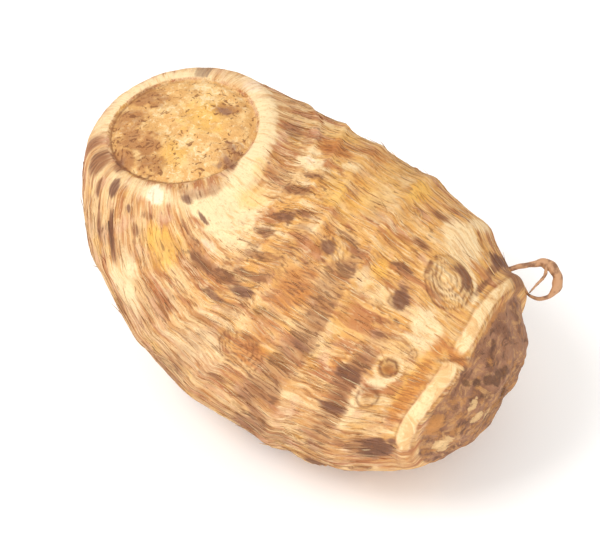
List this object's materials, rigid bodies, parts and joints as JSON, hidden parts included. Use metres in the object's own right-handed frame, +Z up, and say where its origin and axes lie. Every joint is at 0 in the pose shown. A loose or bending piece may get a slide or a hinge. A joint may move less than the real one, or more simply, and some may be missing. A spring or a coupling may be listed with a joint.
{
  "type": "taro root",
  "caption": "Small taro corm with raised leaf rings, a round flat top scar, a bud, root scars and one curled dry rootlet, lying on its side.",
  "frame": {"origin": "on the ground, under the middle of the corm's box", "axes": "+X horizontal towards the dark base end, +Z up, the top scar faces up at the -X end"},
  "size_m": [0.0738, 0.0502, 0.0496],
  "materials": {
    "skin": "dry, fibrous, cream skin with tan and brown streaks, matte"
  },
  "bodies": {
    "root": {"corm": "skin"}
  },
  "joints": []
}
